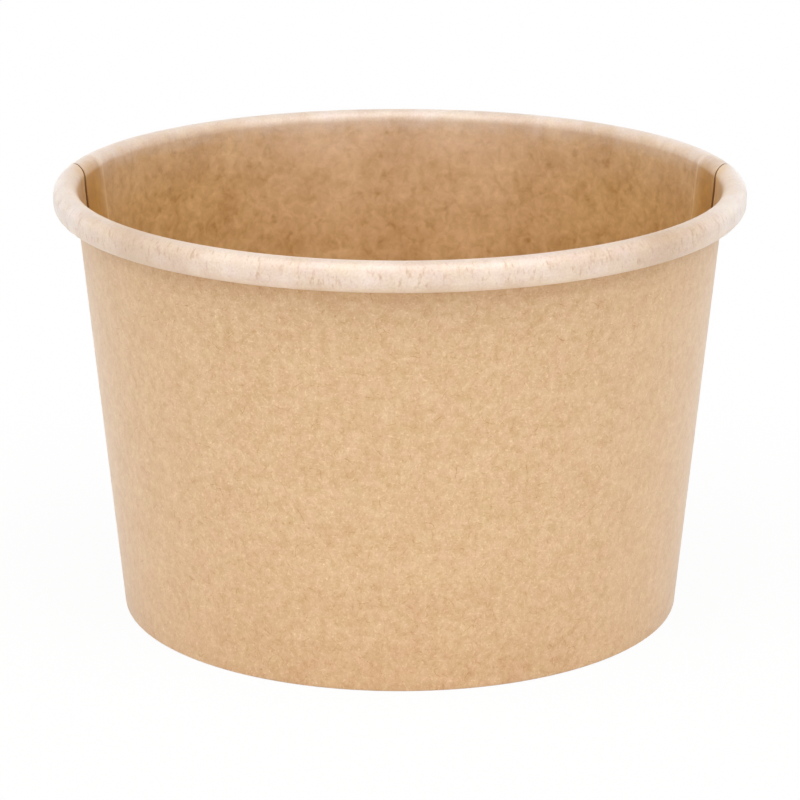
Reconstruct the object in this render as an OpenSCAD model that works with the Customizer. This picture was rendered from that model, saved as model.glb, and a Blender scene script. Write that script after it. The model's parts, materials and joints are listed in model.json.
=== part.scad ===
// Round paper soup container with a rolled rim, open at the top.
// Two kraft board blanks lap at the sides and make one tapered wall. A pressed disc is the base.
// Its edge is turned down as a skirt, and the foot of the wall folds in and up round that skirt.
// Z is up, the table is at z = 0, and the front of the container faces -Y.

/* [Rim] */
// Outer diameter over the rolled rim
rim_d = 90; // [84:0.5:98]
// Width of the roll, from the food side of the wall outwards
roll_w = 3.25; // [3:0.05:3.6]
// Height of the roll
roll_h = 3.8; // [3.6:0.1:4.6]
// How far the rolled edge runs back up beside the wall
roll_tail = 0.8; // [0.3:0.1:1]

/* [Wall] */
// Overall height
height = 57.4; // [45:0.1:80]
// Outer diameter of the wall at the table
foot_d = 73.7; // [68:0.1:80]
// Thickness of the wall board
board_t = 0.4; // [0.3:0.05:0.45]
// Length of the hem that folds in and up round the skirt of the base
hem_l = 4.6; // [3:0.1:5.2]

/* [Side seams] */
// Angle from the front of the container to the cut edge of the inner ply
seam_angle = 97; // [80:1:110]
// Overlap of the two plies, at the top of the wall
lap_w = 8.4; // [5:0.1:12]
// Width in which the outer ply climbs over the edge of the inner one
climb_w = 0.5; // [0.3:0.05:1]
// Gap between the climbing ply and the cut edge
edge_gap = 0.1; // [0.05:0.05:0.3]
// Film of the heat seal between two layers of board
seal_t = 0.02; // [0.01:0.01:0.04]
// Height above the base up to which each seam is pressed to one thickness
press_over = 1; // [0.5:0.5:5]
// Height in which the pressed seam grows to its two thicknesses
press_run = 2; // [1:0.5:5]

/* [Base] */
// Thickness of the base board
base_t = 0.4; // [0.3:0.05:0.5]
// Height of the underside of the base above the table
base_recess = 6.5; // [6.2:0.1:12]
// Outer radius of the bend between the base and its skirt
base_bend_r = 0.9; // [0.6:0.1:1.5]
// Clearance between the lower edge of the skirt and the fold of the wall
skirt_gap = 0.1; // [0.05:0.05:0.5]

/* [Hidden] */

kraft = "#DCB68C";
kraft_back = "#D6AE83";
coated_base = "#B98F62";

// Straight pieces that stand in for a quarter of a bend
quarter_steps = 6;
fold_steps = 3;
// Small risers in the climb of the outer ply
climb_steps = 2;

rim_r = rim_d / 2;
foot_r = foot_d / 2;
// Width of the slot between wall and hem that holds the skirt
slot_w = base_t + 2 * seal_t;
two_plies = 2 * board_t + seal_t;

// Upper half of the roll: its radius on the food side, and its centre in the section plane
top_r = roll_w / 2;
top_c = [rim_r - top_r, height - top_r];

// Taper of the wall, whose outer line runs from the foot to a tangent of the roll
foot_to_top = top_c - [foot_r, 0];
taper = atan2(foot_to_top.x, foot_to_top.y) - asin((top_r - board_t) / norm(foot_to_top));
up_wall = [sin(taper), cos(taper)];
off_wall = [cos(taper), -sin(taper)];

// Lower half of the roll, narrower so that the rolled edge clears both plies of the wall
wall_at_roll = top_c.x - top_r / cos(taper);
low_r = (rim_r - wall_at_roll - two_plies / cos(taper) - seal_t) / 2;
low_c = [rim_r - low_r, height - roll_h + low_r];

// Corners of the slot at the foot, on the food side: under the wall and under the hem
wall_corner = [foot_r + board_t * tan(taper) - board_t / cos(taper), board_t];
hem_corner = wall_corner - [slot_w / cos(taper), 0];

// Where a pressed seam begins and ends to grow, measured along the wall from its corner
press_from = (base_recess + base_t + press_over - wall_corner.y) / cos(taper);
press_to = press_from + press_run;

// A width along the circumference at the top of the wall, as an angle. It is rounded to a
// hundredth of a degree, so that neighbouring stretches of a ply end on the same plane.
top_wall_r = rim_r - roll_w;
function turn(width) = round(width / top_wall_r * 180 / PI * 100) / 100;
riser = turn(climb_w / climb_steps);
lap_end = seam_angle + turn(lap_w);
climb_end = seam_angle - turn(edge_gap);
climb_start = climb_end - climb_steps * riser;
// The pressed part of the inner ply reaches a little past the edge of the outer one
press_end = lap_end + turn(edge_gap);
// Each stretch of the climb reaches this many degrees into the one before it, so that they are one sheet
bite = 0.02;

// Points on an arc about c, in clockwise or anticlockwise order
function arc(c, r, from, to, steps) =
    r == 0 ? [c] : [for (i = [0:steps]) let (a = from + (to - from) * i / steps) c + r * [cos(a), sin(a)]];

// One face of the sheet in section, from the end of the hem round the foot, up the wall and round
// the roll. It lies at a distance from the food side: at_foot below, and at_wall from there on up.
function sheet_face(at_foot, at_wall) = concat(
    [hem_corner + hem_l * up_wall - at_foot * off_wall],
    arc(hem_corner, at_foot, 180 - taper, 270, fold_steps),
    arc(wall_corner, at_foot, 270, 360 - taper, fold_steps),
    at_foot == at_wall ? [] : [
        wall_corner + press_from * up_wall + at_foot * off_wall,
        wall_corner + press_to * up_wall + at_wall * off_wall
    ],
    arc(top_c, top_r - at_wall, 180 - taper, 90, quarter_steps),
    arc(top_c, top_r - at_wall, 90 - 90 / quarter_steps, 0, quarter_steps - 1),
    arc(low_c, low_r - at_wall, 0, -180, 2 * quarter_steps),
    [[rim_r - 2 * low_r + at_wall, low_c.y + roll_tail]]
);

function reversed(points) = [for (i = [len(points) - 1:-1:0]) points[i]];

// A ply between two faces of the sheet, carried round from one angle to another.
// Angles are measured from the front, towards +X.
module ply(from, to, near, far) {
    rotate_extrude(angle = to - from, start = from - 90)
        polygon(concat(sheet_face(near.x, near.y), reversed(sheet_face(far.x, far.y))));
}

// The stretch of the outer ply that lies over the inner one
outer_near = [board_t / 2 + seal_t, board_t + seal_t];
outer_far = [board_t, two_plies];

// The container is the same left and right of its middle plane.
module both_sides() {
    for (side = [0, 1])
        mirror([side, 0, 0]) children();
}

// Outer blank, round the front. It climbs over the inner one in small risers, and then laps it.
module front_wall() {
    color(kraft) both_sides() {
        ply(-bite, climb_start, [0, 0], [board_t, board_t]);
        for (i = [0:climb_steps - 1]) {
            lift = (i + 0.5) / climb_steps;
            ply(climb_start + i * riser - bite, climb_start + (i + 1) * riser,
                lift * outer_near, [board_t, board_t] * (1 - lift) + lift * outer_far);
        }
        ply(climb_end - bite, lap_end, outer_near, outer_far);
    }
}

// Inner blank, round the back, with its cut edges showing inside at the sides
module back_wall() {
    color(kraft_back) both_sides() {
        ply(seam_angle, press_end, [0, 0], [board_t / 2, board_t]);
        ply(press_end, 180, [0, 0], [board_t, board_t]);
    }
}

// Base with its skirt, which stands in the slot between wall and hem
module base_disc() {
    top_z = base_recess + base_t;
    bend_z = top_z - base_bend_r;
    skirt_x = wall_corner.x + (bend_z - wall_corner.y) * tan(taper) - seal_t / cos(taper);
    bend_c = [skirt_x - base_bend_r / cos(taper), bend_z];
    skirt_end = wall_corner + skirt_gap * up_wall - seal_t * off_wall;
    upper = concat([[0, top_z]], arc(bend_c, base_bend_r, 90, -taper, quarter_steps), [skirt_end]);
    lower = concat(
        [[0, base_recess]],
        arc(bend_c, base_bend_r - base_t, 90, -taper, quarter_steps),
        [skirt_end - base_t * off_wall]
    );
    color(coated_base) rotate_extrude() polygon(concat(upper, reversed(lower)));
}

front_wall();
back_wall();
base_disc();
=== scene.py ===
# Paper soup container of kraft board for Blender 4.5: two lapped wall blanks and a pressed base

import json

import bpy
import numpy as np
from bpy.props import FloatProperty, FloatVectorProperty, PointerProperty
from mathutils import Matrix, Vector


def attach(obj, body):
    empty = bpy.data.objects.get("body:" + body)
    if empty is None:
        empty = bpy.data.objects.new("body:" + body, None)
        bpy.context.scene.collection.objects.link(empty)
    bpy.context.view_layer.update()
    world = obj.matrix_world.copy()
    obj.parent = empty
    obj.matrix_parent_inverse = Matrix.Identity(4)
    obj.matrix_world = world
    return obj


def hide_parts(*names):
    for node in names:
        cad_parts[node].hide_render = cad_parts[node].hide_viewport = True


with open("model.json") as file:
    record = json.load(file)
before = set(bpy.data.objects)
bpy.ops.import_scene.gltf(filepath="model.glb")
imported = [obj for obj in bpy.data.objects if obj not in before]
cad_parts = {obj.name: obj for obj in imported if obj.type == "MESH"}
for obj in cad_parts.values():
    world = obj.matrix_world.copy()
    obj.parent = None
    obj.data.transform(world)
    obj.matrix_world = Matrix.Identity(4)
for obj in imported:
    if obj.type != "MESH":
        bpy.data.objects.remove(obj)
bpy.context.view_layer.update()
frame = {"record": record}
RECORD_COLOURS = {m["slot"]: tuple(m["base_color"]) for m in frame["record"]["materials"]}

bl_info = {
    "name": "Paper Soup Container",
    "version": (1, 0, 0),
    "blender": (4, 5, 0),
    "location": "3D View > Sidebar > Soup Container",
    "description": "Builds a round kraft board soup container with a rolled rim and two lapped side seams",
    "category": "Add Mesh",
}

MM = 0.001
DEG = np.pi / 180

# Spare room between the rolled edge and a wall of one ply
TAIL_SLACK = 0.05 * MM
# Straight stretch of board left in a lap between the two lower bends of the roll
LOW_STRAIGHT = 0.01 * MM
# Spare room between the layers that are folded at the foot
FOLD_SLACK = 0.012 * MM
# Distance on the flat board between the patterns of a piece's two faces, in metres
SECOND_FACE = 0.2
# Bend between two faces from which their edge is shaded as sharp
SHARP_BEND = 50 * DEG


def length(name, description, millimetres, smallest, largest):
    """A size property in metres, with its default and limits given in millimetres."""
    return FloatProperty(
        name=name, description=description, default=millimetres * MM, min=smallest * MM, max=largest * MM,
        precision=5, subtype="DISTANCE", unit="LENGTH",
    )


def angle(name, description, degrees, smallest, largest):
    """An angle property, with its default and limits given in degrees."""
    return FloatProperty(
        name=name, description=description, default=degrees * DEG, min=smallest * DEG, max=largest * DEG,
        subtype="ANGLE", unit="ROTATION",
    )


def colour(name, description, linear):
    """A colour property in linear RGB."""
    return FloatVectorProperty(
        name=name, description=description, default=linear, size=3, min=0.0, max=1.0, subtype="COLOR"
    )


def light(name, description, strength):
    """Strength of a light, as the radiance that it adds."""
    return FloatProperty(name=name, description=description, default=strength, min=0.0, max=20.0)


class ContainerSizes(bpy.types.PropertyGroup):
    """Sizes of the board, the rim, the wall, the seams and the base"""

    rim_d: length("Rim diameter", "Outer diameter over the rolled rim", 90, 60, 140)
    roll_w: length("Roll width", "Width of the roll, from the food side of the wall outwards", 3.25, 2.5, 4)
    roll_h: length("Roll height", "Height of the roll", 3.88, 3, 5)
    low_bend: length("Lower bend", "Radius of the roll's lower outer corner", 1.5, 1, 1.8)
    roll_tail: length("Roll tail", "How far the rolled edge runs back up beside the wall", 0.8, 0.3, 1)
    height: length("Height", "Overall height", 57.4, 40, 120)
    saddle: length("Rim saddle", "How far the rim dips at the front and the back", 0.28, 0, 1)
    foot_d: length("Foot diameter", "Outer diameter of the wall at the table", 73.7, 50, 120)
    board_t: length("Wall board", "Thickness of the wall board", 0.4, 0.3, 0.5)
    edge_round: length("Edge rounding", "Radius to which the cut edges are worn", 0.06, 0.01, 0.1)
    hem_l: length("Hem length", "Length of the hem folded in and up round the skirt of the base", 4.6, 3, 6)
    seam_angle: angle("Seam angle", "Angle from the front to the cut edge of the inner ply", 96.5, 80, 110)
    seam_drift: angle("Seam drift", "Angle by which the cut edge slants back where it runs over the rim", 5.8, 0, 8)
    lap_w: length("Lap", "Overlap of the two plies, at the top of the wall", 8.4, 5, 12)
    climb_w: length("Climb", "Width in which the outer ply climbs over the edge of the inner one", 0.5, 0.3, 1)
    edge_gap: length("Edge gap", "Gap between the climbing ply and the cut edge", 0.08, 0.05, 0.3)
    seal_t: length("Heat seal", "Film between two layers of board", 0.02, 0.01, 0.04)
    proud: length("Lap step", "How far the lap stands into the container", 0.17, 0, 0.3)
    press_over: length("Pressed seam", "Height above the base up to which each seam is pressed thin", 1, 0.5, 5)
    press_run: length("Press run-out", "Height in which the pressed seam grows to two thicknesses", 2, 1, 5)
    base_t: length("Base board", "Thickness of the base board", 0.4, 0.3, 0.5)
    base_recess: length("Base recess", "Height of the underside of the base above the table", 6.5, 5, 12)
    base_sink: length("Base sink", "How far the middle of the base sinks inside its ring", 0.12, 0, 0.3)
    base_bend_r: length("Base bend", "Outer radius of the bend between the base and its skirt", 0.9, 0.6, 1.5)
    skirt_gap: length("Skirt clearance", "Gap between the skirt and the fold of the wall", 0.1, 0.05, 0.5)


class ContainerColours(bpy.types.PropertyGroup):
    """Colours of the kraft board. Each tone of a surface lies on the line from its deep to its pale colour"""

    outside_deep: colour("Outside, deep", "Brown fibres of the uncoated side", (0.455, 0.185, 0.0435))
    outside_pale: colour("Outside, pale", "Bleached fibres of the uncoated side", (0.945, 0.735, 0.4805))
    food_deep: colour("Food side, deep", "Dark clouds of the coated side", (0.394, 0.153, 0.0))
    food_pale: colour("Food side, pale", "Pale clouds of the coated side", (0.966, 0.677, 0.4275))
    rim_deep: colour("Rim, deep", "Grey dashes of the rolled rim", (0.624, 0.425, 0.291))
    # Partly the rolled board's own coat and partly a painted reflection of its gloss.
    rim_pale_and_painted_gloss: colour("Rim, pale", "Stretched, coated board of the rolled rim", (0.924, 0.805, 0.711))
    lap: colour("Lap", "Tint of the coated side where two plies are sealed", (0.76, 0.60, 0.17))
    cut_edge: colour("Cut edge", "Raw edge of the board", (0.22, 0.105, 0.04))
    base: colour("Base", "Coated board of the base", RECORD_COLOURS["coated_base"])


class StudioSettings(bpy.types.PropertyGroup):
    """Light, floor and camera of the studio"""

    sky: light("Sky", "Strength of the even white light from everywhere", 0.45)
    keys: light("Key panels", "Strength of the two panels above the camera, left and right", 3.73)
    overhead: light("Overhead panel", "Strength of the panel over the front of the container", 3.0)
    front_fill: light("Front fill", "Strength of the low, wide light at the front", 0.84)
    back_fill: light("Back fill", "Strength of the low, wide light at the back", 0.73)
    floor: colour("Floor", "Plain floor", (0.85, 0.85, 0.85))
    floor_r: length("Floor radius", "Radius of the round floor", 6000, 1000, 20000)
    floor_white: FloatProperty(
        name="Floor white", description="Share of plain white in the floor as the camera sees it", default=0.94,
        min=0.0, max=1.0, subtype="FACTOR",
    )
    lens: FloatProperty(
        name="Lens", description="Focal length on a 36 mm sensor", default=155.253, min=20.0, max=400.0,
        subtype="DISTANCE_CAMERA",
    )
    camera_at: FloatVectorProperty(
        name="Camera", description="Place of the camera", default=(0.0, -0.438422, 0.158608), size=3,
        subtype="TRANSLATION", unit="LENGTH",
    )
    camera_pitch: FloatProperty(
        name="Pitch", description="Angle by which the camera looks down", default=0.29172, min=0.0, max=1.57,
        subtype="ANGLE", unit="ROTATION",
    )


def rise(x, start, reach):
    """0 up to start and 1 from start + reach on. Between, it is 3 t squared minus 2 t cubed, an ease of the share t."""
    t = np.clip((x - start) / reach, 0.0, 1.0)
    return t * t * (3.0 - 2.0 * t)


def fall(x, start, reach):
    """1 up to start and 0 from start + reach on, with an ease between."""
    return 1.0 - rise(x, start, reach)


def peak(x, middle, reach):
    """Bell curve of height 1 about its middle."""
    return np.exp(-(((x - middle) / reach) ** 2))


def turned(around):
    """Unit vectors at these angles in the section plane."""
    return np.stack([np.cos(around), np.sin(around)], -1)


def both_faces(values):
    """Values of the path's rows for the food side, and then backwards for the outside."""
    return np.concatenate([values, values[:, ::-1]], 1)


def top_inner_r(size):
    """Radius of the food side at the top of the wall, where widths round the wall are measured."""
    return size.rim_d / 2 - size.roll_w


def as_turn(size, width):
    """A width round the top of the wall, as an angle."""
    return width / top_inner_r(size)


def lap_end(size):
    """Angle from the front to the far end of the lap."""
    return size.seam_angle + as_turn(size, size.lap_w)


class Wall:
    """Lines of the wall in the section plane (distance from the axis, height), from the sizes of the container.

    The wall leans outwards by its taper: its outer line runs from the foot to a tangent of the roll's circle.
    """

    def __init__(self, size):
        self.top_r = size.roll_w / 2
        self.top_c = np.array([size.rim_d / 2 - self.top_r, size.height - self.top_r])
        lean = self.top_c - [size.foot_d / 2, 0]
        self.taper = np.arctan2(*lean) - np.arcsin((self.top_r - size.board_t) / np.hypot(*lean))
        self.up = np.array([np.sin(self.taper), np.cos(self.taper)])
        self.off = np.array([np.cos(self.taper), -np.sin(self.taper)])
        self.slant = 1 / np.cos(self.taper)
        self.wall_corner = np.array(
            [size.foot_d / 2 + size.board_t * np.tan(self.taper) - size.board_t * self.slant, size.board_t]
        )
        self.hem_corner = self.wall_corner - [(size.base_t + 2 * size.seal_t) * self.slant, 0]
        self.two_plies = 2 * size.board_t + size.seal_t
        self.room = size.rim_d / 2 - (self.top_c[0] - self.top_r * self.slant)
        self.mean_r = (size.rim_d + size.foot_d) / 4

    def low_r(self, size, plies):
        """Radius of the lower half of the roll that leaves room for this thickness of wall inside it."""
        return (self.room - plies * self.slant - size.seal_t) / 2


def board_path(size, wall, plies):
    """Food side of the board in the section plane: places, normals into the board, lengths along it, first rows.

    It is a chain of straight lines and arcs. The hem comes down to its corner, the fold turns about that corner and
    the next one, the wall rises to the roll, and the roll goes over the top, down the rim, round below and back up
    beside this thickness of wall.
    """
    rim_r, quarter, taper = size.rim_d / 2, np.pi / 2, wall.taper
    tail_r = 2 * wall.low_r(size, wall.two_plies) - size.low_bend - LOW_STRAIGHT
    tail_x = rim_r - 2 * wall.low_r(size, plies)
    bottom = size.height - size.roll_h
    low_z, tail_z = bottom + size.low_bend, bottom + tail_r
    parts = []

    def line(start, end, normal, steps):
        share = np.linspace(0, 1, steps + 1)[:, None]
        parts.append((start + (np.asarray(end) - start) * share, np.tile(normal, (steps + 1, 1))))

    def bend(centre, radius, start, end, steps, inwards):
        out = turned(np.linspace(start, end, steps + 1))
        parts.append((centre + radius * out, -out if inwards else out))

    line(wall.hem_corner + size.hem_l * wall.up, wall.hem_corner, -wall.off, 6)
    bend(wall.hem_corner, 0, 2 * quarter - taper, 3 * quarter, 6, False)
    line(wall.hem_corner, wall.wall_corner, (0, -1), 2)
    bend(wall.wall_corner, 0, 3 * quarter, 4 * quarter - taper, 6, False)
    line(wall.wall_corner, wall.top_c - wall.top_r * wall.off, wall.off, 34)
    bend(wall.top_c, wall.top_r, 2 * quarter - taper, quarter, 14, True)
    bend(wall.top_c, wall.top_r, quarter, 0, 14, True)
    line(np.array([rim_r, wall.top_c[1]]), [rim_r, low_z], (-1, 0), 2)
    bend(np.array([rim_r - size.low_bend, low_z]), size.low_bend, 0, -quarter, 12, True)
    line(np.array([rim_r - size.low_bend, bottom]), [tail_x + tail_r, bottom], (0, 1), 1)
    bend(np.array([tail_x + tail_r, tail_z]), tail_r, -quarter, -2 * quarter, 10, True)
    line(np.array([tail_x, tail_z]), [tail_x, tail_z + size.roll_tail], (1, 0), 2)
    at = np.concatenate([parts[0][0]] + [places[1:] for places, _ in parts[1:]])
    into = np.concatenate([parts[0][1]] + [normals[1:] for _, normals in parts[1:]])
    middle = at + 0.5 * size.board_t * into
    run = np.concatenate([[0], np.cumsum(np.hypot(*np.diff(middle, axis=0).T))])
    first = np.cumsum([0] + [len(places) - 1 for places, _ in parts])
    return at, into, run, {"wall": first[4], "roll": first[5], "low bend": first[8], "underside": first[9]}


def add_piece(name, points, uv, quads, triangles, materials, slots=None, layers=None):
    """Mesh object of a closed piece of board, with its places on the flat board, its materials and its layers.

    Faces are turned outwards by the sign of the enclosed volume.
    """
    corner = points[quads]
    across = np.cross(corner[:, 2] - corner[:, 0], corner[:, 3] - corner[:, 1])
    if np.einsum("ij,ij->", corner.mean(1) - points.mean(0), across) < 0:
        quads, triangles = quads[:, ::-1], triangles[:, ::-1]
    mesh = bpy.data.meshes.new(name)
    mesh.from_pydata(points.tolist(), [], quads.tolist() + triangles.tolist())
    if slots is not None:
        mesh.polygons.foreach_set("material_index", slots.astype(np.int32))
    order = np.empty(len(mesh.loops), np.int32)
    mesh.loops.foreach_get("vertex_index", order)
    mesh.uv_layers.new(name="board").uv.foreach_set("vector", uv[order].astype(np.float32).ravel())
    for label, values in (layers or {}).items():
        layer = mesh.attributes.new(label, "FLOAT", "POINT")
        layer.data.foreach_set("value", values.astype(np.float32).ravel())
    for material in materials:
        mesh.materials.append(material)
    mesh.shade_smooth()
    mesh.set_sharp_from_angle(angle=SHARP_BEND)
    mesh.update()
    piece = bpy.data.objects.new(name, mesh)
    bpy.context.scene.collection.objects.link(piece)
    return piece


def add_blank(name, grid, uv, materials, layers):
    """Piece from a grid of places, with columns round the axis and rows round the closed loop of the section.

    Each quad joins neighbours in both directions. Each end is capped by quads between the two faces of the board.
    The materials are those of the food side, the outside and the cut edge.
    """
    columns, rows = grid.shape[:2]
    index = np.arange(columns * rows).reshape(columns, rows)
    after = np.roll(index, -1, axis=1)
    quads = np.stack([index[:-1], index[1:], after[1:], after[:-1]], -1).reshape(-1, 4)
    near = np.arange(rows // 2 - 1)
    far = rows - 1 - near
    start_cap = np.stack([index[0, near], index[0, near + 1], index[0, far - 1], index[0, far]], -1)
    end_cap = np.stack([index[-1, near], index[-1, far], index[-1, far - 1], index[-1, near + 1]], -1)
    food, outside, edge = range(3)
    loop_slots = np.concatenate([np.full(len(near), food), [edge], np.full(len(near), outside), [edge]])
    slots = np.concatenate([np.tile(loop_slots, columns - 1), np.full(2 * len(near), edge)])
    return add_piece(
        name, grid.reshape(-1, 3), uv.reshape(-1, 2), np.concatenate([quads, start_cap, end_cap]),
        np.empty((0, 3), int), materials, slots, layers,
    )


def fine_steps(start, end, coarse, seams):
    """Angles from start to end in steps of about one degree, crowded round each seam (place, reach, count)."""
    stops = [np.linspace(start, end, coarse)]
    for seam, reach, count in seams:
        stops.append(np.linspace(seam - reach, seam + reach, count))
    angles = np.unique(np.round(np.concatenate(stops), 6))
    return angles[(angles >= start - 1e-9) & (angles <= end + 1e-9)]


def wall_blank(size, name, angles, depths, pale_from, materials):
    """One blank of the wall: the board path carried round the axis.

    A point is path place + depth * path normal, turned about the axis by its angle. The depth of each face follows
    from the angle and the height. Near a seam the angle drifts back over the rim by seam drift * ease(path length).
    The lap stands proud into the container by lap step * ease(angle from either end of the lap). At last the rim dips
    by saddle * (height / full height) squared * (1 + cos(2 * angle)) / 2.
    """
    wall = Wall(size)
    side = np.abs((angles + np.pi) % (2 * np.pi) - np.pi)[:, None]
    into_lap = (side - size.seam_angle) * top_inner_r(size)
    past_lap = (side - lap_end(size)) * top_inner_r(size)
    single, into, run, row = board_path(size, wall, size.board_t + TAIL_SLACK)
    double = board_path(size, wall, wall.two_plies)[0]
    two_plies = rise(side, size.seam_angle - 0.08, 0.05) * fall(side, lap_end(size) + 0.03, 0.05)
    at = single + (double - single) * two_plies[..., None]
    on_wall = (at[0, :, 1] - wall.wall_corner[1]) * wall.slant
    above = run - run[row["roll"]]

    pressed = fall(on_wall, size.base_recess + size.base_t + size.press_over - wall.wall_corner[1], size.press_run)
    pressed[: row["wall"]] = 1.0
    pressed[row["roll"]:] = 0.0
    over_rim = rise(above, -0.95 * MM, 3.5 * wall.top_r)
    near, far = depths(size, into_lap, past_lap, pressed, over_rim)
    in_lap = rise(into_lap, -0.05 * MM, 0.05 * MM) * fall(past_lap, -MM, MM)
    inwards = size.proud * in_lap * fall(above, -0.38 * MM, 1.9 * MM) * (1 - pressed)
    to_edge = np.minimum(angles - angles[0], angles[-1] - angles)[:, None] * top_inner_r(size)
    rounding = size.edge_round * (1 - np.sqrt(1 - (1 - np.clip(to_edge / size.edge_round, 0, 1)) ** 2))
    near = near - inwards + FOLD_SLACK * fall(run, run[row["wall"]], MM) + rounding
    far = far - inwards - rounding

    loop = np.concatenate([at + near[..., None] * into, (at + far[..., None] * into)[:, ::-1]], axis=1)
    near_seam = rise(side, size.seam_angle - 0.184, 0.16) * fall(side, size.seam_angle + 0.056, 0.16)
    left_or_right = np.where(angles % (2 * np.pi) < np.pi, 1, -1)[:, None]
    around = angles[:, None] + left_or_right * both_faces(size.seam_drift * over_rim * near_seam)
    up = loop[..., 1] - size.saddle * (loop[..., 1] / size.height) ** 2 * (1 + np.cos(2 * around)) / 2
    grid = np.stack([loop[..., 0] * np.sin(around), -loop[..., 0] * np.cos(around), up], -1)
    along = np.concatenate([run, run[::-1] + SECOND_FACE])
    uv = np.stack([around * wall.mean_r, np.broadcast_to(along, around.shape)], -1)
    return add_blank(name, grid, uv, materials, wall_layers(size, side, into, run, row, on_wall, pale_from))


def wall_layers(size, side, into, run, row, on_wall, pale_from):
    """Layers that the finishes of a wall blank read. Each is a product or sum of eases of place on the board.

    roll: the pale board of the roll, partly the coat's own colour and partly a painted reflection of the coat. It fades
    in above pale_from, over a shorter way at the back and later in the sealed lap, and nearly ends under the rim. A
    weaker, longer fade reaches down the wall outside the lap, a painted reflection that makes the top of the inside
    paler.
    face, under: outer face of the roll, and its lower bend and underside, which under tints with painted shade.
    painted_rim_light: painted light on the top of the roll, and a painted sheen on nearly the whole roll at the two
    sides.
    lap: sealed lap, sharp at the cut edge and soft at its far end. painted_ridge_highlight: a painted highlight, a pale
    line along the ridge beside it. worn: painted shade, darker stretches of the rim either side of the front and a
    little
    at the back. painted_rim_shadow: painted shadow on the wall just under the roll. low: painted shade on the foot of
    the wall at the front.
    calm: outside away from the front, where its pattern is weaker.
    back: back of the inside, less so lower down, which is painted paler there and golden at the sides as a painted
    reflection. stripes: its soft upright pale and dark stripes.
    """
    above = run - run[row["roll"]]
    below = -above
    into_lap = (side - size.seam_angle) * top_inner_r(size)
    past_ridge = (side - lap_end(size)) * top_inner_r(size) + 0.9 * MM
    sealed = rise(side, size.seam_angle - 0.08, 0.05) * fall(past_ridge, -1.5 * MM, 1.5 * MM)
    later = 1.1 * MM * sealed
    fade = 3.2 * MM + 0.6 * MM * fall(side, 148 * DEG, 15 * DEG) - later
    # The weaker, longer fade is a painted reflection that makes the inside paler up to 8 mm below the roll.
    roll = 0.84 * rise(above, pale_from + later, fade) + 0.16 * (1 - sealed) * rise(above, -8 * MM, 8 * MM)
    outwards = rise(-into[:, 0], 0.2, 0.5) * (run > run[row["roll"]])
    under = rise(run, run[row["low bend"]] - 0.2 * MM, 1.2 * MM)
    # Painted light: the top of the roll, and as a painted sheen nearly the whole roll at the two sides, are made paler.
    painted_flank_sheen = rise(side, 56 * DEG, 14 * DEG) * fall(side, 104 * DEG, 10 * DEG) * rise(above, 1.5 * MM, MM)
    painted_rim_light = (1 - np.maximum(outwards, under)) * (0.5 + 0.12 * rise(side, 120 * DEG, 20 * DEG))
    # Painted shadow: the outer wall darker just under the overhanging roll.
    painted_rim_shadow = 0.55 * rise(above, -4.8 * MM, 2.1 * MM) + 0.45 * rise(above, -3.55 * MM, 0.7 * MM)
    # Painted shade: the foot of the wall darker at the front.
    low = 0.5 * fall(on_wall, 8 * MM, 12 * MM) + 0.5 * fall(on_wall, 5 * MM, 2.5 * MM)
    lap = 0.45 * fall(past_ridge, -0.45 * MM, 0.9 * MM) + 0.55 * fall(past_ridge, -4 * MM, 4 * MM)
    pale_stripe = peak(side, 166.5 * DEG, 5.5 * DEG)
    dark_stripe = peak(side, 137.5 * DEG, 6 * DEG) * fall(below, 2 * MM, 5 * MM)
    layers = {
        "roll": roll * (1 - 0.9 * rise(run, run[row["underside"]], MM)),
        "face": outwards * (1 - under),
        "painted_rim_light": painted_rim_light + 0.9 * (1 - painted_rim_light) * (1 - under) * painted_flank_sheen,
        "under": under,
        "lap": lap * rise(into_lap, -0.02 * MM, 0.02 * MM),
        # Painted highlight: a pale line along the ridge beside the lap.
        "painted_ridge_highlight": peak(past_ridge, 0.3 * MM, 0.5 * MM),
        # Painted shade: the rim darker about 47 degrees either side of the front, and a little at the back.
        "worn": peak(side, 47 * DEG, 11 * DEG) + 0.13 * rise(side, 108 * DEG, 20 * DEG),
        "calm": rise(side, 28 * DEG, 30 * DEG),
        "stripes": 0.5 + 0.5 * pale_stripe - 0.35 * peak(side, np.pi, 4 * DEG) - 0.5 * dark_stripe,
        "low": low * fall(side, 25 * DEG, 30 * DEG),
        "painted_rim_shadow": painted_rim_shadow * (run < run[row["roll"]]),
        # Painted reflection: the inside paler at the back and golden at the sides, less so lower down.
        "back": rise(side, 128 * DEG, 40 * DEG) * (1 - 0.64 * rise(below, 2 * MM, 18 * MM)),
    }
    return {name: both_faces(np.broadcast_to(values, (len(side), len(run)))) for name, values in layers.items()}


def outer_depths(size, into_lap, past_lap, pressed, over_rim):
    """Depths of the outer blank: it climbs from the food side to outside the inner ply, as an ease of the angle.

    Over the rim the climb and its gap are narrower, so that only a hairline shows there.
    """
    gap = size.edge_gap * (1 - 0.6 * over_rim)
    climb = size.climb_w * (1 - 0.6 * over_rim)
    lift = rise(into_lap, -gap - climb, climb)
    near = lift * (size.board_t * (1 - 0.5 * pressed) + size.seal_t)
    far = size.board_t + lift * (1 - pressed) * (size.board_t + size.seal_t)
    return near, far


def inner_depths(size, into_lap, past_lap, pressed, over_rim):
    """Depths of the inner blank: one thickness of board, pressed to half of it at the foot of each lap."""
    thin = fall(past_lap, size.edge_gap - 0.05 * MM, 0.1 * MM)
    return 0 * thin * pressed, size.board_t * (1 - 0.5 * thin * pressed)


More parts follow.
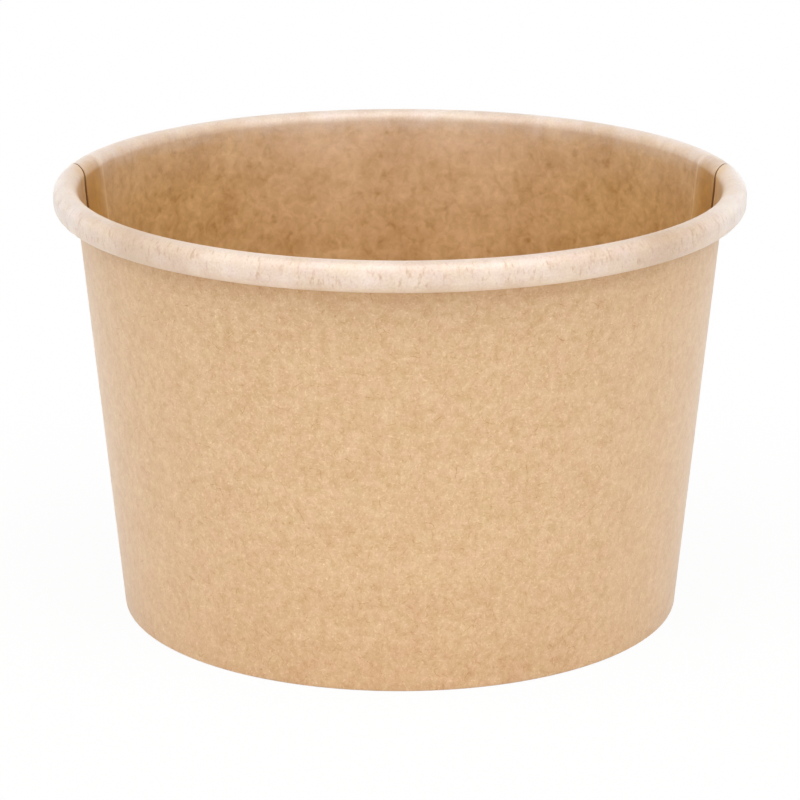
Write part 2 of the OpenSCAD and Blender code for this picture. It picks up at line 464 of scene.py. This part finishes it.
class Finish:
    """A material or a sky being drawn: adds shader nodes and links them, so that a finish reads as one formula."""

    def __init__(self, name):
        """Empty material of this name, or the sky where the name is a world's."""
        self.material = bpy.data.worlds.get(name) or bpy.data.materials.new(name)
        self.material.use_nodes = True
        self.tree = self.material.node_tree
        self.tree.nodes.clear()

    def node(self, kind, inputs=(), **settings):
        """New node with these settings. Each input is a value or another node's output."""
        made = self.tree.nodes.new(kind)
        for key, value in settings.items():
            setattr(made, key, value)
        for key, value in dict(inputs).items():
            if isinstance(value, bpy.types.NodeSocket):
                self.tree.links.new(value, made.inputs[key])
            else:
                made.inputs[key].default_value = value
        return made

    def sum(self, operation, a, b=0.0, c=0.0):
        """Math node."""
        return self.node("ShaderNodeMath", {0: a, 1: b, 2: c}, operation=operation).outputs[0]

    def vector(self, operation, a, b, c=(0.0, 0.0, 0.0)):
        """Vector math node."""
        return self.node("ShaderNodeVectorMath", {0: a, 1: b, 2: c}, operation=operation).outputs[0]

    def tone(self, middle, *parts):
        """A middle tone plus each value times its weight."""
        total = middle
        for weight, value in parts:
            total = self.sum("MULTIPLY_ADD", value, weight, total)
        return total

    def ramp(self, value, low, high, out_low=0.0, out_high=1.0):
        """Smooth step of a value from low to high."""
        ends = {"From Min": low, "From Max": high, "To Min": out_low, "To Max": out_high}
        return self.node("ShaderNodeMapRange", {"Value": value, **ends}, interpolation_type="SMOOTHSTEP").outputs[0]

    def blend(self, share, a, b, how="MIX"):
        """Colour a turned towards colour b by a share."""
        a, b = (x if isinstance(x, bpy.types.NodeSocket) else (*x, 1.0) for x in (a, b))
        mixed = self.node("ShaderNodeMix", {0: share, 6: a, 7: b}, data_type="RGBA", blend_type=how, clamp_factor=True)
        return mixed.outputs[2]

    def tint(self, layer, board, by):
        """A colour multiplied by another one, as far as a layer says."""
        return self.blend(self.layer(layer), board, by, "MULTIPLY")

    def layer(self, name):
        """A named attribute of the mesh."""
        return self.node("ShaderNodeAttribute", attribute_name=name).outputs["Fac"]

    def flat(self, stretch=(1.0, 1.0, 1.0)):
        """Places on the flat board, in millimetres, stretched."""
        uv = self.node("ShaderNodeUVMap", uv_map="board").outputs[0]
        return self.node("ShaderNodeMapping", {"Vector": uv, "Scale": tuple(s / MM for s in stretch)}).outputs[0]

    def noise(self, places, per_mm, detail=2.0, roughness=0.5, seed=0.0, output="Fac"):
        """Noise with so many waves per millimetre, about 0 for its value and about 0.5 for its colour."""
        moved = self.vector("ADD", places, (seed * 13.7, seed * 7.9, 0.0))
        made = self.node(
            "ShaderNodeTexNoise", {"Vector": moved, "Scale": per_mm, "Detail": detail, "Roughness": roughness},
            noise_dimensions="2D",
        ).outputs[output]
        return self.sum("SUBTRACT", made, 0.5) if output == "Fac" else made

    def wavy(self, places, per_mm, by):
        """Places moved about by a noise, so that what is drawn on them curls."""
        away = self.vector("SUBTRACT", self.noise(places, per_mm, 1.0, seed=9.0, output="Color"), (0.5, 0.5, 0.5))
        return self.vector("MULTIPLY_ADD", away, (by, by, 0.0), places)

    def drifting(self, places, board, seed, per_mm, yellowish, pinkish):
        """A colour that drifts between two tints in soft patches."""
        drift = self.tone(0.5, (1.3, self.noise(places, per_mm, 3.0, 0.65, seed)))
        return self.blend(1.0, board, self.blend(drift, yellowish, pinkish), "MULTIPLY")

    def fibres(self, places, size, thick, seed, reach=0.42, rare=0.15):
        """One short curved fibre in each cell of a Voronoi pattern.

        In a cell, the place from its centre is turned by a random angle into (x, y). The fibre is where
        |y - bend * x squared| is small and |x| is short. Its strength is random too, and none in the rare share of
        cells.
        """
        moved = {"Scale": (1 / size, 1 / size, 1.0), "Location": (seed * 7.31, seed * 3.77, 0.0)}
        scaled = self.node("ShaderNodeMapping", {"Vector": places, **moved}).outputs[0]
        cell = self.node(
            "ShaderNodeTexVoronoi", {"Vector": scaled, "Scale": 1.0, "Randomness": 1.0}, voronoi_dimensions="2D"
        )
        pick = self.node("ShaderNodeSeparateColor", {0: cell.outputs["Color"]}).outputs
        from_centre = self.vector("SUBTRACT", scaled, cell.outputs["Position"])
        any_way = self.sum("MULTIPLY", pick[0], 2 * np.pi)
        local = self.node(
            "ShaderNodeVectorRotate", {"Vector": from_centre, "Angle": any_way}, rotation_type="Z_AXIS"
        ).outputs[0]
        xyz = self.node("ShaderNodeSeparateXYZ", {0: local}).outputs
        bend = self.sum("MULTIPLY_ADD", pick[1], 2.4, -1.2)
        curve = self.sum("MULTIPLY", self.sum("MULTIPLY", xyz[0], xyz[0]), bend)
        away = self.sum("ABSOLUTE", self.sum("SUBTRACT", xyz[1], curve))
        line = self.ramp(away, 0.0, thick / size, 1.0, 0.0)
        short = self.ramp(self.sum("ABSOLUTE", xyz[0]), reach * 0.55, reach, 1.0, 0.0)
        strong = self.ramp(pick[2], rare, 0.95)
        return self.sum("MULTIPLY", self.sum("MULTIPLY", line, short), strong)

    def bump(self, height, distance, strength=1.0):
        """Normal that follows a height."""
        return self.node("ShaderNodeBump", {"Height": height, "Distance": distance, "Strength": strength}).outputs[0]

    def surface(self, **inputs):
        """Principled surface, linked to the output."""
        shader = self.node("ShaderNodeBsdfPrincipled", {k.replace("_", " ").title(): v for k, v in inputs.items()})
        self.node("ShaderNodeOutputMaterial", {"Surface": shader.outputs[0]})
        return self.material


def kraft_outside(c):
    """Uncoated kraft board: soft clouds, a fine grain, curled pale and brown fibres, thin hairs and dark specks.

    The pattern is weaker away from the front. Painted shade darkens the board: a painted shadow under the rim, and the
    foot of the wall at the front.
    """
    f = Finish("kraft_outside")
    flat = f.flat()
    curly = f.wavy(flat, 1.5, 0.5)
    cloud = f.noise(flat, 0.22, 2.0, 0.6, seed=1.0)
    mottle = f.noise(flat, 0.8, 3.0, 0.72, seed=2.0)
    grain = f.noise(flat, 4.5, 1.0, 0.6, seed=3.0)
    speck = f.ramp(f.noise(flat, 1.6, 2.0, 0.7, seed=4.0), 0.22, 0.30)
    fleck = f.ramp(f.noise(flat, 3.1, 0.0, 0.5, seed=6.0), 0.22, 0.32)
    pale = [f.fibres(curly, *fibre) for fibre in ((0.75, 0.10, 1.0), (0.95, 0.11, 2.0), (1.35, 0.12, 3.0))]
    dark = [f.fibres(curly, *fibre) for fibre in ((0.80, 0.10, 11.0), (1.1, 0.11, 12.0))]
    hair = f.fibres(f.wavy(flat, 0.8, 0.5), 1.9, 0.085, 13.0, reach=0.48, rare=0.6)
    detail = f.tone(
        0.0, (0.50, mottle), (0.18, grain), (-0.25, speck), (0.14, fleck), (-0.24, hair),
        *((0.13, fibre) for fibre in pale), *((-0.13, fibre) for fibre in dark),
    )
    detail = f.sum("MULTIPLY", detail, f.tone(1.02, (-0.2, f.layer("calm"))))
    board = f.blend(f.tone(0.478, (0.18, cloud), (1.0, detail)), c.outside_deep, c.outside_pale)
    board = f.drifting(flat, board, 7.0, 0.35, (0.97, 1.0, 0.91), (1.005, 0.975, 1.0))
    # Painted shadow: the wall darker and browner just under the roll.
    board = f.tint("painted_rim_shadow", board, (0.83, 0.775, 0.71))
    # Painted shade: the foot of the wall darker and browner at the front.
    board = f.tint("low", board, (0.935, 0.91, 0.885))
    relief = f.tone(0.0, (0.8, grain), (0.5, pale[0]), (-0.5, dark[0]))
    return f.surface(
        base_color=board, roughness=f.tone(0.5, (0.3, grain)), sheen_weight=0.4, sheen_roughness=0.4,
        normal=f.bump(relief, 0.004 * MM, 0.25),
    )


def kraft_food_side(c):
    """Coated kraft board: cloudier than the outside, with dark smudges and stains. Its rolled rim is paler, partly as a
    painted reflection of the coat.

    The inside is golden at the sides and paler and greyer at the back, a painted reflection of the light from the
    front, and deeper in the laps, with a painted highlight along their ridges. The rim has soft patches, and bunches of
    grey dashes and dots on its face. Painted light makes its top and sides paler, and painted shade makes its underside
    warmer and two stretches beside the front darker. Where it fades into the inside, a noise makes the edge uneven.
    """
    f = Finish("kraft_food_side")
    flat = f.flat()
    smeared = f.wavy(flat, 0.45, 1.5)
    roll, face, back = f.layer("roll"), f.layer("face"), f.layer("back")

    cloud = f.noise(smeared, 0.16, 3.0, 0.6, seed=21.0)
    mottle = f.noise(smeared, 0.7, 3.0, 0.62, seed=22.0)
    grain = f.noise(flat, 3.5, 2.0, 0.6, seed=23.0)
    smudge = f.ramp(f.noise(smeared, 0.8, 1.0, 0.5, seed=24.0), 0.0, 0.36)
    stain = f.ramp(f.noise(flat, 0.42, 2.0, 0.6, seed=35.0), 0.08, 0.30)
    patchy = f.tone(0.028, (0.45, mottle), (-0.07, smudge), (-0.14, stain))
    # The pattern is weaker at the back, under the painted reflection.
    patchy = f.sum("MULTIPLY", patchy, f.tone(1.45, (-0.45, back)))
    inside = f.tone(
        # A pale painted highlight runs along the ridge beside each lap.
        0.43, (0.54, cloud), (1.0, patchy), (0.10, grain), (0.20, f.layer("painted_ridge_highlight")), (0.12, f.layer("stripes"))
    )
    inside = f.blend(inside, c.food_deep, c.food_pale)
    inside = f.drifting(flat, inside, 27.0, 0.3, (0.98, 1.0, 0.93), (1.0, 0.985, 1.0))
    # Painted reflection: the inside golden at the sides, and paler and greyer at the back.
    inside = f.blend(1.0, inside, f.blend(back, (0.945, 0.91, 0.68), (1.03, 1.05, 1.06)), "MULTIPLY")
    inside = f.tint("lap", inside, c.lap)

    patch = f.noise(flat, 0.14, 4.0, 0.68, seed=25.0)
    bunch = f.ramp(f.noise(flat, 0.3, 1.0, 0.5, seed=36.0), -0.16, 0.06)
    dashes = f.ramp(f.noise(f.flat((1.9, 0.7, 1.0)), 1.0, 2.0, 0.6, seed=32.0), 0.0, 0.34)
    dashes = f.sum("MULTIPLY", f.sum("MULTIPLY", dashes, bunch), face)
    dots = f.sum("MULTIPLY", f.ramp(f.noise(flat, 2.6, 1.0, 0.5, seed=28.0), 0.20, 0.30), face)
    rim = f.tone(0.525, (1.0, patch), (0.52, grain), (-0.62, dashes), (-0.26, dots))
    rim = f.blend(rim, c.rim_deep, c.rim_pale_and_painted_gloss)
    rim = f.drifting(flat, rim, 29.0, 0.4, (1.0, 1.0, 0.90), (1.0, 0.975, 1.04))
    # Painted shade: the rim darker and browner about 47 degrees either side of the front, and a little at the back.
    rim = f.tint("worn", rim, (0.83, 0.77, 0.69))
    # Painted light: the top and the two sides of the roll paler and bluer.
    rim = f.tint("painted_rim_light", rim, (1.0, 1.08, 1.185))
    # Painted shade: the underside and lower bend of the roll warmer and darker.
    rim = f.tint("under", rim, (1.0, 0.965, 0.895))

    # The pale rim is partly a painted reflection of the coat, and its fade down the inside is painted reflection.
    halfway = f.sum("MULTIPLY", roll, f.sum("SUBTRACT", 2.0, f.sum("MULTIPLY", roll, 2.0)))
    uneven = f.sum("ADD", roll, f.sum("MULTIPLY", f.noise(flat, 0.5, 2.0, 0.6, seed=34.0), halfway))
    return f.surface(
        base_color=f.blend(uneven, inside, rim), roughness=f.tone(0.46, (0.25, mottle)), coat_weight=1.0,
        coat_roughness=0.42, normal=f.bump(f.tone(0.0, (1.0, mottle), (0.4, grain)), 0.006 * MM, 0.3),
    )


def kraft_cut_edge(c):
    """Raw edge of the board: brown, with fine layers of fibre."""
    f = Finish("kraft_cut_edge")
    fine = f.noise(f.flat(), 6.0, 2.0, 0.6, seed=5.0)
    tone = f.blend(f.tone(0.5, (1.0, fine)), 0.75 * Vector(c.cut_edge), 1.25 * Vector(c.cut_edge))
    return f.surface(base_color=tone, roughness=0.8, normal=f.bump(fine, 0.01 * MM))


def base_board(c):
    """Satin coated board of the base, with soft clouds, fibres and a fine grain."""
    f = Finish("base_board")
    flat = f.flat()
    curly = f.wavy(flat, 1.5, 0.5)
    cloud = f.noise(flat, 0.3, 2.0, 0.6, seed=41.0)
    mottle = f.noise(flat, 0.8, 3.0, 0.65, seed=42.0)
    grain = f.noise(flat, 4.0, 1.0, 0.6, seed=43.0)
    pale, dark = f.fibres(curly, 1.1, 0.11, 44.0), f.fibres(curly, 1.3, 0.10, 45.0)
    tone = f.tone(0.5, (0.25, cloud), (0.5, mottle), (0.2, grain), (0.2, pale), (-0.2, dark))
    return f.surface(
        base_color=f.blend(tone, 0.55 * Vector(c.base), 1.45 * Vector(c.base)),
        roughness=f.tone(0.44, (0.25, mottle)), coat_weight=0.5, coat_roughness=0.28,
        normal=f.bump(f.tone(0.0, (1.0, mottle), (0.4, grain)), 0.02 * MM, 0.5),
    )


def shared(name, make, colours):
    """The material of this name, made once."""
    return bpy.data.materials.get(name) or make(colours)


def wall_finishes(colours):
    """Finishes of a wall blank: food side, outside and cut edge."""
    return [
        shared("kraft_food_side", kraft_food_side, colours),
        shared("kraft_outside", kraft_outside, colours),
        shared("kraft_cut_edge", kraft_cut_edge, colours),
    ]


def set_in_place(piece, node):
    """Lets a piece stand for its CAD node."""
    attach(piece, "root")
    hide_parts(node)


class CONTAINER_OT_front_wall(bpy.types.Operator):
    """Add the outer blank of the wall, round the front, with its rolled rim and its folded foot"""

    bl_idname = "container.front_wall"
    bl_label = "Add Front Wall"
    bl_options = {"REGISTER", "UNDO"}

    def execute(self, context):
        size, colours = context.scene.container_sizes, context.scene.container_colours
        end, mm = lap_end(size), as_turn(size, MM)
        seams = [(side * (size.seam_angle - 0.4 * mm), 0.6 * mm, 25) for side in (-1, 1)]
        seams += [(side * (end - 0.03 * mm), 0.03 * mm, 5) for side in (-1, 1)]
        angles = fine_steps(-end, end, 219, seams)
        piece = wall_blank(size, "front_wall_sheet", angles, outer_depths, -0.6 * MM, wall_finishes(colours))
        set_in_place(piece, "front_wall")
        return {"FINISHED"}


class CONTAINER_OT_back_wall(bpy.types.Operator):
    """Add the inner blank of the wall, round the back, with its cut edges inside at the left and right"""

    bl_idname = "container.back_wall"
    bl_label = "Add Back Wall"
    bl_options = {"REGISTER", "UNDO"}

    def execute(self, context):
        size, colours = context.scene.container_sizes, context.scene.container_colours
        start, end, mm = size.seam_angle, 2 * np.pi - size.seam_angle, as_turn(size, MM)
        seams = [(start + 0.03 * mm, 0.03 * mm, 5), (end - 0.03 * mm, 0.03 * mm, 5)]
        seams += [(lap_end(size), 1.2 * mm, 17), (2 * np.pi - lap_end(size), 1.2 * mm, 17)]
        angles = fine_steps(start, end, 169, seams)
        piece = wall_blank(size, "back_wall_sheet", angles, inner_depths, -1.4 * MM, wall_finishes(colours))
        set_in_place(piece, "back_wall")
        return {"FINISHED"}


class CONTAINER_OT_base(bpy.types.Operator):
    """Add the pressed base with the skirt that stands between wall and hem"""

    bl_idname = "container.base"
    bl_label = "Add Base"
    bl_options = {"REGISTER", "UNDO"}

    def execute(self, context):
        size, colours = context.scene.container_sizes, context.scene.container_colours
        piece = pressed_base(size, shared("base_board", base_board, colours))
        set_in_place(piece, "base_disc")
        return {"FINISHED"}


def pressed_base(size, finish):
    """Pressed base: its section turned about the axis, with triangles to a pole on the axis closing each face.

    The section is a flat from the axis, a quarter bend and a straight skirt that leans as the wall does, given on
    both faces of the board. The flat sinks by the base sink inside a shallow ring, as an ease of the distance from
    the axis.
    """
    wall = Wall(size)
    top = size.base_recess + size.base_t
    bend_z = top - size.base_bend_r
    skirt_x = wall.wall_corner[0] + (bend_z - wall.wall_corner[1]) * np.tan(wall.taper) - size.seal_t * wall.slant
    centre = np.array([skirt_x - size.base_bend_r * wall.slant, bend_z])
    skirt_end = wall.wall_corner + size.skirt_gap * wall.up - size.seal_t * wall.off
    out = turned(np.linspace(np.pi / 2, -wall.taper, 13))
    flat = np.linspace(0.4 * MM, centre[0], 46)[:-1]
    sink = size.base_sink * fall(flat, centre[0] - 4.2 * MM, 1.6 * MM)
    faces = []
    for depth in (0.0, size.base_t):
        level = np.stack([flat, top - depth - sink], -1)
        curve = centre + (size.base_bend_r - depth) * out
        straight = curve[-1] + (skirt_end - depth * wall.off - curve[-1]) * np.linspace(0, 1, 7)[1:, None]
        faces.append(np.concatenate([level, curve, straight]))
    loop = np.concatenate([faces[0], faces[1][::-1]])
    run = np.concatenate([[0], np.cumsum(np.hypot(*np.diff(faces[0], axis=0).T))]) + flat[0]
    reach = np.concatenate([run, run[::-1]])
    around = np.linspace(0, 2 * np.pi, 241)[:-1]
    spin = np.stack([np.sin(around), -np.cos(around)], -1)[:, None, :]
    columns, rows = len(around), len(loop)
    grid = np.empty((columns, rows, 3))
    grid[..., :2] = loop[:, 0, None] * spin
    grid[..., 2] = loop[:, 1]
    uv = reach[:, None] * spin
    uv[:, rows // 2:, 0] += SECOND_FACE

    index = np.arange(columns * rows).reshape(columns, rows)
    after = np.roll(index, -1, axis=0)
    quads = np.stack([index[:, :-1], index[:, 1:], after[:, 1:], after[:, :-1]], -1).reshape(-1, 4)
    top_pole = np.full(columns, columns * rows)
    triangles = np.concatenate([
        np.stack([top_pole, index[:, 0], after[:, 0]], -1), np.stack([top_pole + 1, after[:, -1], index[:, -1]], -1)
    ])
    poles = [[0.0, 0.0, top - size.base_sink], [0.0, 0.0, size.base_recess - size.base_sink]]
    points = np.concatenate([grid.reshape(-1, 3), poles])
    places = np.concatenate([uv.reshape(-1, 2), [[0.0, 0.0], [SECOND_FACE, 0.0]]])
    return add_piece("base_sheet", points, places, quads, triangles, [finish])


def studio_floor(settings):
    """Large round floor. The camera sees it nearly white even where a shadow falls on it."""
    corners = 96
    ring = np.linspace(0, 2 * np.pi, corners + 1)[:-1]
    edge = settings.floor_r * np.stack([np.sin(ring), np.cos(ring), np.zeros(corners)], -1)
    mesh = bpy.data.meshes.new("studio_floor")
    mesh.from_pydata(edge[::-1].tolist(), [], [list(range(corners))])
    f = Finish("white_floor")
    plain = f.node("ShaderNodeBsdfDiffuse", {"Color": (*settings.floor, 1.0)})
    white = f.node("ShaderNodeEmission", {"Color": (1.0, 1.0, 1.0, 1.0), "Strength": 1.0})
    seen = f.node("ShaderNodeLightPath").outputs["Is Camera Ray"]
    share = f.sum("MULTIPLY", seen, settings.floor_white)
    both = f.node("ShaderNodeMixShader", {0: share, 1: plain.outputs[0], 2: white.outputs[0]})
    f.node("ShaderNodeOutputMaterial", {"Surface": both.outputs[0]})
    mesh.materials.append(f.material)
    floor = bpy.data.objects.new("studio_floor", mesh)
    bpy.context.scene.collection.objects.link(floor)


def studio_light(settings):
    """White sky with soft panels of light hung in it. The camera sees it as plain white.

    Each panel fills a range of angles around, counted from the front to either side, and a range of angles above the
    horizon, in degrees. It adds strength * window(angle around) * window(angle above), and each window has soft edges.
    """
    panels = [
        (settings.keys, (25, 60), (40, 60)), (settings.overhead, (-9, 90), (60, 99)),
        (settings.front_fill, (-9, 60), (-9, 20)), (settings.back_fill, (85, 189), (-9, 20)),
    ]
    soft = 2 * DEG
    bpy.context.scene.world = bpy.data.worlds.new("studio_sky")
    f = Finish("studio_sky")
    towards = f.node("ShaderNodeSeparateXYZ", {0: f.node("ShaderNodeTexCoord").outputs["Generated"]}).outputs
    around = f.sum("ARCTAN2", f.sum("ABSOLUTE", towards[0]), f.sum("MULTIPLY", towards[1], -1.0))
    above = f.sum("ARCSINE", towards[2])

    def window(value, low, high):
        edges = [f.ramp(value, edge * DEG - soft, edge * DEG + soft) for edge in (low, high)]
        return f.sum("SUBTRACT", *edges)

    parts = [(strength, f.sum("MULTIPLY", window(around, *a), window(above, *b))) for strength, a, b in panels]
    plain_white = {"Color": (1.0, 1.0, 1.0, 1.0)}
    sky = f.node("ShaderNodeBackground", {"Strength": f.tone(settings.sky, *parts), **plain_white})
    white = f.node("ShaderNodeBackground", plain_white)
    seen = f.node("ShaderNodeLightPath").outputs["Is Camera Ray"]
    mix = f.node("ShaderNodeMixShader", {0: seen, 1: sky.outputs[0], 2: white.outputs[0]})
    f.node("ShaderNodeOutputWorld", {"Surface": mix.outputs[0]})


def studio_camera(settings):
    """Camera at the place and angle of the photograph."""
    lens = bpy.data.cameras.new("camera")
    lens.lens, lens.sensor_width, lens.sensor_fit = settings.lens, 36.0, "HORIZONTAL"
    lens.clip_start, lens.clip_end = 0.01, 30.0
    camera = bpy.data.objects.new("camera", lens)
    camera.location = settings.camera_at
    camera.rotation_euler = (np.pi / 2 - settings.camera_pitch, 0.0, 0.0)
    bpy.context.scene.collection.objects.link(camera)
    bpy.context.scene.camera = camera


class CONTAINER_OT_studio(bpy.types.Operator):
    """Add the white floor, the light panels and the camera"""

    bl_idname = "container.studio"
    bl_label = "Add Studio"
    bl_options = {"REGISTER", "UNDO"}

    def execute(self, context):
        settings = context.scene.container_studio
        studio_floor(settings)
        studio_light(settings)
        studio_camera(settings)
        context.scene.view_settings.view_transform = "Standard"
        return {"FINISHED"}


class CONTAINER_PT_panel(bpy.types.Panel):
    """Buttons and sizes of the soup container"""

    bl_label = "Soup Container"
    bl_idname = "CONTAINER_PT_panel"
    bl_space_type = "VIEW_3D"
    bl_region_type = "UI"
    bl_category = "Soup Container"

    def draw(self, context):
        for operator in OPERATORS:
            self.layout.operator(operator.bl_idname)
        for group in (context.scene.container_sizes, context.scene.container_colours, context.scene.container_studio):
            box = self.layout.box()
            for name in group.bl_rna.properties.keys():
                if name not in ("name", "rna_type"):
                    box.prop(group, name)


GROUPS = {
    "container_sizes": ContainerSizes,
    "container_colours": ContainerColours,
    "container_studio": StudioSettings,
}
OPERATORS = (CONTAINER_OT_front_wall, CONTAINER_OT_back_wall, CONTAINER_OT_base, CONTAINER_OT_studio)


def register():
    """Registers the settings, the operators and the panel."""
    for cls in (*GROUPS.values(), *OPERATORS, CONTAINER_PT_panel):
        bpy.utils.register_class(cls)
    for name, group in GROUPS.items():
        setattr(bpy.types.Scene, name, PointerProperty(type=group))


def unregister():
    """Takes out all that register adds."""
    for name in GROUPS:
        delattr(bpy.types.Scene, name)
    for cls in reversed((*GROUPS.values(), *OPERATORS, CONTAINER_PT_panel)):
        bpy.utils.unregister_class(cls)


def main():
    """Builds the container and its studio."""
    register()
    bpy.ops.container.front_wall()
    bpy.ops.container.back_wall()
    bpy.ops.container.base()
    bpy.ops.container.studio()


if __name__ == "__main__":
    main()
